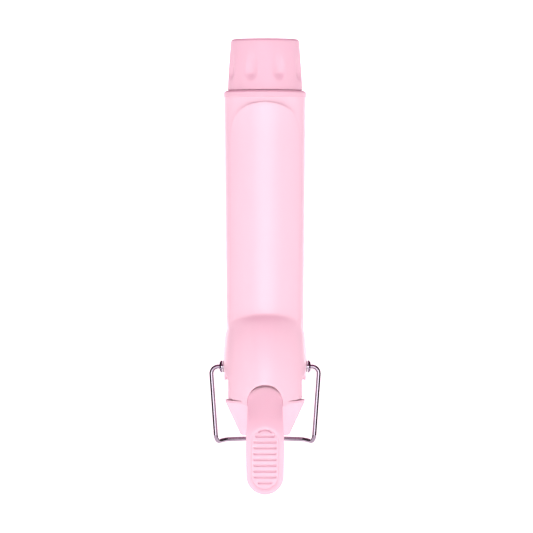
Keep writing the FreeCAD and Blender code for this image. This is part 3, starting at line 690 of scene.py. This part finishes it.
def ridge_groove(x, z):
    """Depth of the grooves that part the pad's ridges, and of the arched one above them."""
    for index in range(RIDGES):
        middle = RIDGE_HIGH - index * RIDGE_PITCH
        reach = {0: 4.45, RIDGES - 1: 3.3}.get(index, 5.25)
        off = abs(z - middle)
        if off < 0.6:
            end = smooth_step(reach - 0.3, reach, abs(x))
            return GROOVE_DEPTH * (1 - smooth_step(0.28, 0.55, off)) * (1 - end)
    if z > RIDGE_HIGH + 1:
        ring = abs(math.hypot(x, z - (PAD_HIGH - 5.2)) - 4.6)
        end = smooth_step(2.6, 3.1, abs(x))
        return ARCHED_GROOVE_DEPTH * (1 - smooth_step(0.2, 0.5, ring)) * (1 - end)
    return 0.0


def pad_surface(x, z):
    return Vector((x, lever_face(z) + 0.08 + PAD_LIP + ridge_groove(x, z), z))


def pad_outline():
    half = PAD_HALF_WIDTH - 0.25
    right = list(arc((0, PAD_HIGH - PAD_HALF_WIDTH), half, 90, 0, 24))
    right += list(line((half, PAD_HIGH - PAD_HALF_WIDTH), (half, PAD_LOW + PAD_HALF_WIDTH), 20))
    right += list(arc((0, PAD_LOW + PAD_HALF_WIDTH), half, 0, -90, 24))
    return with_mirror(right)


def ridged_pad(material):
    shape = shaped_plate(pad_outline(), [], 0.19, pad_surface)
    piece = link_piece("ridged_pad", shape, "clip", "lever_plastic", material, "thumb_pad")
    thicken(piece, 0.5)


# Spring between lever and neck

# Height and depth of the leaf along its middle, from the studs down to its foot.
LEAF_LINE = ((37.4, -19.25), (26.0, -20.23), (19.0, -17.9), (17.6, -18.8))
LEAF_HALF_WIDTH = 3.2
LEAF_THICKNESS = 0.5
STUD_HEIGHTS = (29.0, 35.0)
STUD_HOLE_R = 1.25


def leaf_surface(x, z):
    heights, depths = zip(*reversed(LEAF_LINE))
    return Vector((x, float(np.interp(z, heights, depths)), z))


def bending_leaf(material):
    """Leaf spring: the studs hold it flat on the lever's root, and its foot stays on the neck."""
    top, foot = LEAF_LINE[0][0], LEAF_LINE[-1][0]
    right = [(0.0, top), (LEAF_HALF_WIDTH, top), (LEAF_HALF_WIDTH, foot), (0.0, foot)]
    holes = [np.array(list(arc((0, z), STUD_HOLE_R, 0, 345, 23))) for z in STUD_HEIGHTS]
    shape = shaped_plate(with_mirror(right), holes, 0.35, leaf_surface)
    piece = link_piece("bending_leaf", shape, None, "spring_steel", material, "clip_spring")
    thicken(piece, LEAF_THICKNESS)
    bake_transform(piece)


# Everything together


def coat_nodes(material, *names):
    """Gives nodes that stay as they are their material."""
    for name in names:
        slots = frame["nodes"][name].data.materials
        slots.clear()
        slots.append(material)


def build():
    camera()
    studio()
    floor()
    dark_cards()
    enamel = baked_enamel("pink_baked_enamel", "#F2DBE3", "#EFD7E0")
    # The clip's enamel is a darker copy of the barrel's enamel: painted shade for the hood's top,
    # which faces up away from the light, laid over the whole clip and its ear pads.
    clip_enamel_painted_shade = baked_enamel("pink_clip_enamel", "#F1D7DF", "#EED3DC")
    nylon = moulded_nylon("pink_moulded_nylon", "#EED2DB", "#EBCED8")
    # The tip's nylon is a darker copy of the lever's nylon: painted shade for the cool tip and collar,
    # whose faces tilt up away from the light.
    tip_nylon_painted_shade = moulded_nylon("pink_tip_nylon", "#EACDD7", "#E7C9D4")
    coat_nodes(enamel, "barrel")
    coat_nodes(nylon, "neck_housing", "cone_base")
    coat_nodes(zinc_steel(), "tip_bracket", "tip_screw", "mount_screws", "base_screws", "thermal_fuse",
               "pivot_bush_left", "pivot_bush_right", "bush_rings", "lever_studs", "stud_washers")
    coat_nodes(glass_filled_resin(), "mount_ring", "connector_block")
    coat_nodes(extruded_aluminium(), "spreader_front", "spreader_rear")
    coat_nodes(fired_ceramic(), "heater_plate")
    coat_nodes(pressed_mica(), "insulation_front", "insulation_rear")
    coat_nodes(glass_bead(), "thermistor")
    coat_nodes(silicone_jacket(), "heater_lead_left", "heater_lead_right", "sensor_lead")
    coat_nodes(turned_brass(), "contact_pins")
    coat_nodes(bright_chrome(), "stand_wire", "stand_disc_left", "stand_disc_right")
    tip_cap(tip_nylon_painted_shade)
    bevelled_collar(tip_nylon_painted_shade)
    clip_shell(clip_enamel_painted_shade)
    ear_pads(clip_enamel_painted_shade)
    lever_body(nylon)
    ridged_pad(nylon)
    bending_leaf(spring_strip())


build()
